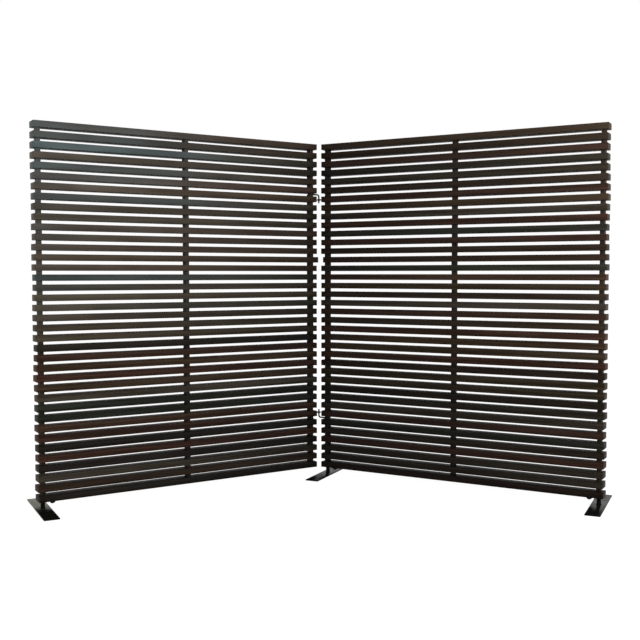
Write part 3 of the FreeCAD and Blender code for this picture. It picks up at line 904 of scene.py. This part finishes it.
@dataclass
class HookAndEye:
    """The forged hooks that reach across the joint, and the eyes that they turn in."""

    TOP_GAP = 6
    BOTTOM_GAP = 32

    finishes: Finishes
    ring_radius: float = 12 * MM
    ring_hole: float = 4.5 * MM
    ring_ease: float = 0.4 * MM
    ring_overlap: float = 2 * MM     # how far the bar's flat end lies inside the ring's band
    flat: float = 4 * MM
    flat_width: float = 14 * MM
    flat_margin: float = 4 * MM
    bar_radius: float = 4 * MM
    spacer_width: float = 19 * MM
    blend: float = 8 * MM            # length over which the flat turns into round bar
    blend_steps: int = 5
    bend: float = 11 * MM
    bend_steps: int = 16
    drop: float = 44 * MM
    tip_rings: int = 5
    eye_radius: float = 10 * MM
    eye_bore: float = 4.3 * MM
    eye_height: float = 8 * MM
    eye_ease: float = 2 * MM
    shank_radius: float = 3 * MM
    shank_overlap: float = 2 * MM    # how far the shank starts inside the eye's ring
    shank_in_slat: float = 5 * MM    # the shank goes deeper, but this much hides its end
    facets: int = 24

    def hook(self, name: str, side: Side, face: float, hangs: bool) -> None:
        """Build one hook, drawn hanging and turned over where it points up.

        Args:
            name: The hook's node.
            side: The panel that carries it.
            face: Height of the slat face that it is clamped against.
            hangs: Whether its leg points down.
        """
        bm = bmesh.new()
        column = STACK.columns()["joint"]
        strip_end = column - self.spacer_width / 2 - self.flat_margin
        rim = self.ring_radius
        ease = self.ring_ease
        ring = [(self.ring_hole, -self.flat), (rim - ease, -self.flat), (rim, ease - self.flat),
                (rim, -ease), (rim - ease, 0), (self.ring_hole, 0)]
        lathe(bm, ring, Vector((column, 0, 0)), closed=True)
        self.bar(bm, column - self.ring_hole - self.ring_overlap, strip_end)
        if not hangs:
            bmesh.ops.scale(bm, vec=(1, 1, -1), verts=bm.verts)
            bmesh.ops.reverse_faces(bm, faces=bm.faces)
        bmesh.ops.translate(bm, vec=(0, 0, face), verts=bm.verts)
        place_piece(bm, f"forged_{name}", side, self.finishes.black, [name])

    def bar(self, bm: bmesh.types.BMesh, start: float, strip_end: float) -> None:
        """Draw the bar from its flattened end, round the bend and down to the leg's tip."""
        centre = -self.bar_radius
        loop = bmesh.ops.create_circle(bm, cap_ends=True, segments=self.facets,
                                       radius=self.bar_radius)["verts"]
        bmesh.ops.rotate(bm, cent=(0, 0, 0), matrix=Matrix.Rotation(math.pi / 2, 3, "Y"),
                         verts=loop)
        wide = self.flat_width / (2 * self.bar_radius)
        thin = self.flat / (2 * self.bar_radius)
        bmesh.ops.scale(bm, vec=(1, wide, thin), verts=loop)
        bmesh.ops.translate(bm, vec=(start, 0, -self.flat / 2), verts=loop)
        face = loop[0].link_faces[0]
        face = self.extrude(bm, face, Vector((strip_end - start, 0, 0)))
        for step in range(1, self.blend_steps + 1):
            share = step / self.blend_steps
            smooth = share * share * (3 - 2 * share)
            face = self.extrude(bm, face, Vector((-self.blend / self.blend_steps, 0, 0)))
            verts = list(face.verts)
            middle = sum((v.co for v in verts), Vector()) / len(verts)
            tall = max(v.co.z for v in verts) - min(v.co.z for v in verts)
            broad = max(v.co.y for v in verts) - min(v.co.y for v in verts)
            goal_tall = self.flat + (2 * self.bar_radius - self.flat) * smooth
            goal_broad = self.flat_width + (2 * self.bar_radius - self.flat_width) * smooth
            goal_z = -self.flat / 2 + (centre + self.flat / 2) * smooth
            for vert in verts:
                vert.co.y *= goal_broad / broad
                vert.co.z = goal_z + (vert.co.z - middle.z) * goal_tall / tall
        here = strip_end - self.blend
        face = self.extrude(bm, face, Vector((self.bend - here, 0, 0)))
        spun = bmesh.ops.spin(bm, geom=[face], cent=(self.bend, 0, centre - self.bend),
                              axis=(0, -1, 0), angle=math.pi / 2, steps=self.bend_steps)
        face = next(item for item in spun["geom_last"] if isinstance(item, bmesh.types.BMFace))
        leg = self.drop - self.bend - self.bar_radius
        face = self.extrude(bm, face, Vector((0, 0, -leg)))
        quarter = math.pi / 2 / self.tip_rings
        for step in range(1, self.tip_rings + 1):
            low = math.sin(quarter * (step - 1))
            high = math.sin(quarter * step)
            face = self.extrude(bm, face, Vector((0, 0, -(high - low) * self.bar_radius)))
            narrow = max(math.cos(quarter * step), 0.02)
            for vert in face.verts:
                away = Vector((vert.co.x, vert.co.y, 0))
                if away.length > 0:
                    away = away.normalized() * self.bar_radius * narrow
                vert.co.x, vert.co.y = away.x, away.y

    @staticmethod
    def extrude(bm: bmesh.types.BMesh, face: bmesh.types.BMFace, step: Vector):
        """Extrude a face by a step and return the new end face."""
        made = bmesh.ops.extrude_discrete_faces(bm, faces=[face])["faces"][0]
        bmesh.ops.translate(bm, vec=step, verts=made.verts)
        return made

    def eye(self, name: str, side: Side, height: float) -> None:
        """Build one eye: a round-edged ring on the fold axis and its shank.

        Args:
            name: The eye's node.
            side: The panel that carries it.
            height: Height of the middle of the ring.
        """
        bm = bmesh.new()
        half = self.eye_height / 2
        ease = self.eye_ease
        nick = 0.3 * ease
        inner, outer = self.eye_bore, self.eye_radius
        upper = [(inner, half - ease), (inner + nick, half - nick), (inner + ease, half),
                 (outer - ease, half), (outer - nick, half - nick), (outer, half - ease)]
        lower = [(radius, -level) for radius, level in upper]
        lathe(bm, lower + upper[::-1], Vector((0, 0, height)), closed=True)
        start = outer - self.shank_overlap
        end = STACK.reach + self.shank_in_slat
        shank = bmesh.ops.create_cone(bm, cap_ends=True, segments=self.facets,
                                      radius1=self.shank_radius, radius2=self.shank_radius,
                                      depth=end - start)["verts"]
        bmesh.ops.rotate(bm, cent=(0, 0, 0), matrix=Matrix.Rotation(math.pi / 2, 3, "Y"),
                         verts=shank)
        bmesh.ops.translate(bm, vec=((start + end) / 2, 0, height), verts=shank)
        place_piece(bm, f"forged_{name}", side, self.finishes.black, [name])

    def build(self) -> None:
        """Build both hooks and both eyes."""
        half = STACK.thickness / 2
        self.hook("top_hook", Side.LEFT, STACK.slat_middle(self.TOP_GAP) - half, hangs=True)
        self.hook("bottom_hook", Side.RIGHT, STACK.slat_middle(self.BOTTOM_GAP + 1) + half,
                  hangs=False)
        self.eye("top_eye", Side.RIGHT, STACK.slat_middle(self.TOP_GAP + 1))
        self.eye("bottom_eye", Side.LEFT, STACK.slat_middle(self.BOTTOM_GAP))


@dataclass
class HiddenFixings:
    """Rods and nuts, which show only inside the counterbores."""

    finishes: Finishes

    def build(self) -> None:
        """Dress the frame's own rods and nuts."""
        for side in Side:
            for kind in ("tie_rods", "rod_nuts"):
                node = frame["nodes"][f"{side.label}_{kind}"]
                node.data.materials.clear()
                node.data.materials.append(self.finishes.zinc)
                LOG.info("%s: zinc plate", node.name)


# ------------------------------------------------------------------ studio

@dataclass
class Studio:
    """A white floor and sky, soft lamps, and the camera where the photograph was taken."""

    camera_place: Vector = field(default_factory=lambda: Vector((-0.1194, -4.3991, 1.0453)))
    azimuth: float = 1.503        # degrees to the right of +Y
    pitch: float = -2.891         # degrees above level
    roll: float = -0.03           # degrees that the picture leans clockwise
    lens: float = 51.4
    sensor: float = 36.0
    floor_half: float = 30.0
    floor_colour: str = "#909090"
    floor_glow: float = 0.92      # tops up the lit floor to pure white
    sky_light: float = 0.35

    def build(self) -> None:
        """Build the floor, the sky, the lamps and the camera."""
        self.build_floor()
        self.build_sky()
        self.build_lamps()
        self.build_camera()

    @staticmethod
    def seen_directly(tree: bpy.types.NodeTree) -> bpy.types.NodeSocket:
        """One where a camera, glossy or transmission ray arrives, and nought elsewhere."""
        path = add_node(tree, "ShaderNodeLightPath")
        first = add_node(tree, "ShaderNodeMath", {"operation": "MAXIMUM"},
                         {0: path.outputs["Is Camera Ray"], 1: path.outputs["Is Glossy Ray"]})
        both = add_node(tree, "ShaderNodeMath", {"operation": "MAXIMUM"},
                        {0: first.outputs[0], 1: path.outputs["Is Transmission Ray"]})
        return both.outputs[0]

    def build_floor(self) -> None:
        """A floor that is white to the eye and still takes the screen's shadow."""
        bm = bmesh.new()
        bmesh.ops.create_grid(bm, x_segments=1, y_segments=1, size=self.floor_half)
        floor = mesh_object(bm, "floor")
        floor.data.flip_normals()
        material, tree = new_material("white_floor")
        lit = add_node(tree, "ShaderNodeBsdfDiffuse", None, {"Color": linear(self.floor_colour)})
        glow = add_node(tree, "ShaderNodeEmission", None, {"Color": linear("#ffffff"),
                                                           "Strength": self.floor_glow})
        added = add_node(tree, "ShaderNodeAddShader", None,
                         {0: lit.outputs[0], 1: glow.outputs[0]})
        mixed = add_node(tree, "ShaderNodeMixShader", None,
                         {0: self.seen_directly(tree), 1: lit.outputs[0], 2: added.outputs[0]})
        show_surface(tree, mixed.outputs[0])
        floor.data.materials.append(material)

    def build_sky(self) -> None:
        """An even sky: white to the eye, dimmer as a light."""
        world = bpy.data.worlds.new("white_sky")
        bpy.context.scene.world = world
        world.use_nodes = True
        tree = world.node_tree
        tree.nodes.clear()
        strength = add_node(tree, "ShaderNodeMapRange", None,
                            {"Value": self.seen_directly(tree), "To Min": self.sky_light, "To Max": 1.0})
        background = add_node(tree, "ShaderNodeBackground", None,
                              {"Color": linear("#ffffff"), "Strength": strength.outputs[0]})
        add_node(tree, "ShaderNodeOutputWorld", inputs={"Surface": background.outputs[0]})

    def build_lamps(self) -> None:
        """A broad key from the right front, a soft fill from the left and one overhead."""
        target = Vector((0, 0.1, 0.9))
        self.lamp("key", Vector((3.6, -3.6, 2.0)), target, size=2.4, power=175)
        self.lamp("fill", Vector((-4.2, -3.8, 1.5)), target, size=3.0, power=85)
        self.lamp("top", Vector((0.0, 1.0, 5.0)), target, size=3.5, power=15)

    @staticmethod
    def lamp(name: str, place: Vector, target: Vector, size: float, power: float) -> None:
        """Hang a square lamp that faces a target."""
        data = bpy.data.lights.new(name, "AREA")
        data.shape = "SQUARE"
        data.size = size
        data.energy = power
        lamp = bpy.data.objects.new(name, data)
        lamp.location = place
        lamp.rotation_euler = (target - place).to_track_quat("-Z", "Y").to_euler()
        bpy.context.scene.collection.objects.link(lamp)

    def build_camera(self) -> None:
        """The camera at the photograph's place and angle."""
        data = bpy.data.cameras.new("camera")
        data.sensor_width = self.sensor
        data.lens = self.lens
        camera = bpy.data.objects.new("camera", data)
        azimuth = math.radians(self.azimuth)
        pitch = math.radians(self.pitch)
        forward = Vector((math.sin(azimuth) * math.cos(pitch),
                          math.cos(azimuth) * math.cos(pitch), math.sin(pitch)))
        turn = forward.to_track_quat("-Z", "Y").to_matrix().to_4x4()
        lean = Matrix.Rotation(math.radians(self.roll), 4, "Z")
        camera.matrix_world = Matrix.Translation(self.camera_place) @ turn @ lean
        bpy.context.scene.collection.objects.link(camera)
        bpy.context.scene.camera = camera


def main() -> None:
    """Build and dress the screen, then set up the studio."""
    logging.basicConfig(level=logging.INFO, format="%(name)s: %(message)s")
    bpy.context.scene.view_settings.view_transform = "Standard"
    finishes = Finishes()
    # The left panel carries most of the painted sheen, the right one painted shade near the ground; both
    # darken at the fold.
    for timber in (Timber(Side.LEFT, seed=11, bloom_and_sheen=0.8, damp=1.0, long_ends={14: 8 * MM}),
                   Timber(Side.RIGHT, seed=23, bloom_and_sheen=0.1, damp=0.35, long_ends={14: -10 * MM})):
        Slats(timber, finishes).build()
        Spacers(timber, finishes).build()
    Foot("left", Side.LEFT, "outer", finishes, dusty=True).build()
    Foot("joint", Side.RIGHT, "joint", finishes).build()
    Foot("right", Side.RIGHT, "outer", finishes).build()
    CoachBolts(finishes).build()
    HookAndEye(finishes).build()
    HiddenFixings(finishes).build()
    Studio().build()


if __name__ == "__main__":
    main()
